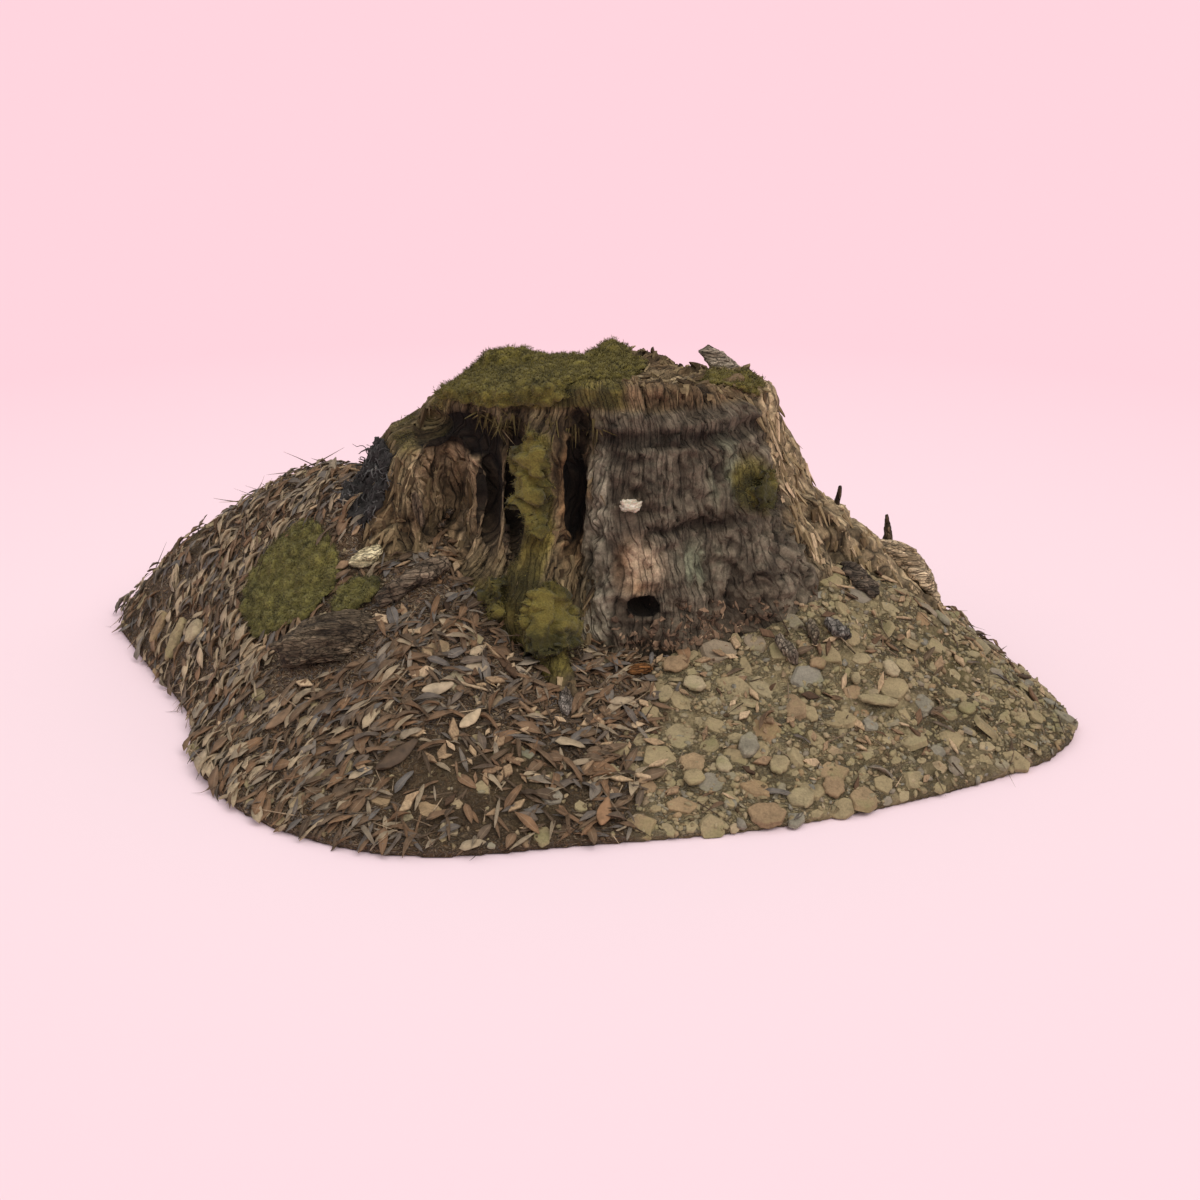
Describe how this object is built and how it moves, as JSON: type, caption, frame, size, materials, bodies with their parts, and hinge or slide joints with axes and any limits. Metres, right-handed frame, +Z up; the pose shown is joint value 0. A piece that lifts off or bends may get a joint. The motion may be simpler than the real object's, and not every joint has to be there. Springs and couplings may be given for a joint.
{
  "type": "tree stump",
  "caption": "Decayed, moss-capped tree stump standing in a mound of woodland soil with leaf litter, loose wood, flat stones and twigs",
  "frame": {"origin": "Middle of the flat underside of the ground mound", "axes": "+Z up out of the ground; +X along the longest side, towards the blunt tip of the stony slope; -Y is the front, which the slab of dark bark faces"},
  "size_m": [2.748, 2.0727, 0.9736],
  "materials": {
    "soil": "dark, crumbly woodland soil with stone crumbs",
    "stump_wood": "rotted grey-brown wood and bark, dry and rough",
    "moss": "dense green cushion moss",
    "rootlets": "tangle of fine dark roots",
    "bark": "dark, split bark",
    "weathered_wood": "silver-grey weathered wood",
    "rotten_wood": "pale, crumbly rotten wood",
    "fungus": "dry white bracket fungus",
    "stone": "flat khaki stones with a few tan and bluish ones",
    "dry_leaf": "dry brown and tan dead leaves",
    "twig_wood": "thin grey-brown twigs"
  },
  "bodies": {
    "root": {"ground_mound": "soil", "stump": "stump_wood", "splinter_top_right": "weathered_wood", "rotten_slab_right": "rotten_wood", "standing_peg_right": "bark", "small_peg_right": "bark", "root_stub_left": "weathered_wood", "fallen_branch_left": "weathered_wood", "leaning_chip_left": "rotten_wood", "bracket_fungus": "fungus", "wood_slab_left": "rotten_wood", "bark_plate_right": "bark", "weathered_chip_front": "weathered_wood", "bark_chunk_foot_1": "bark", "bark_chunk_foot_2": "bark", "bark_chunk_foot_3": "bark", "orange_chip_foot": "rotten_wood", "moss_cap_top": "moss", "moss_knob_right": "moss", "moss_rib_front": "moss", "moss_root_front": "moss", "moss_patch_left_front": "moss", "moss_flank_right": "moss", "moss_bank_left": "moss", "moss_lobe_left": "moss", "rootlet_mat_left": "rootlets", "stone_1": "stone", "stone_2": "stone", "stone_3": "stone", "stone_4": "stone", "stone_5": "stone", "stone_6": "stone", "stone_7": "stone", "stone_8": "stone", "stone_9": "stone", "stone_10": "stone", "stone_11": "stone", "stone_12": "stone", "stone_13": "stone", "stone_14": "stone", "stone_15": "stone", "stone_16": "stone", "stone_17": "stone", "stone_18": "stone", "stone_19": "stone", "stone_20": "stone", "leaf_dark_front": "dry_leaf", "leaf_pale_front": "dry_leaf", "leaf_tan_middle": "dry_leaf", "leaf_brown_left": "dry_leaf", "leaf_grey_left": "dry_leaf", "leaf_orange_front": "dry_leaf", "twig_curved_far_left": "twig_wood", "twig_pale_left": "twig_wood", "twig_middle_front": "twig_wood", "twig_low_front": "twig_wood", "twig_lower_left": "twig_wood"}
  },
  "joints": []
}
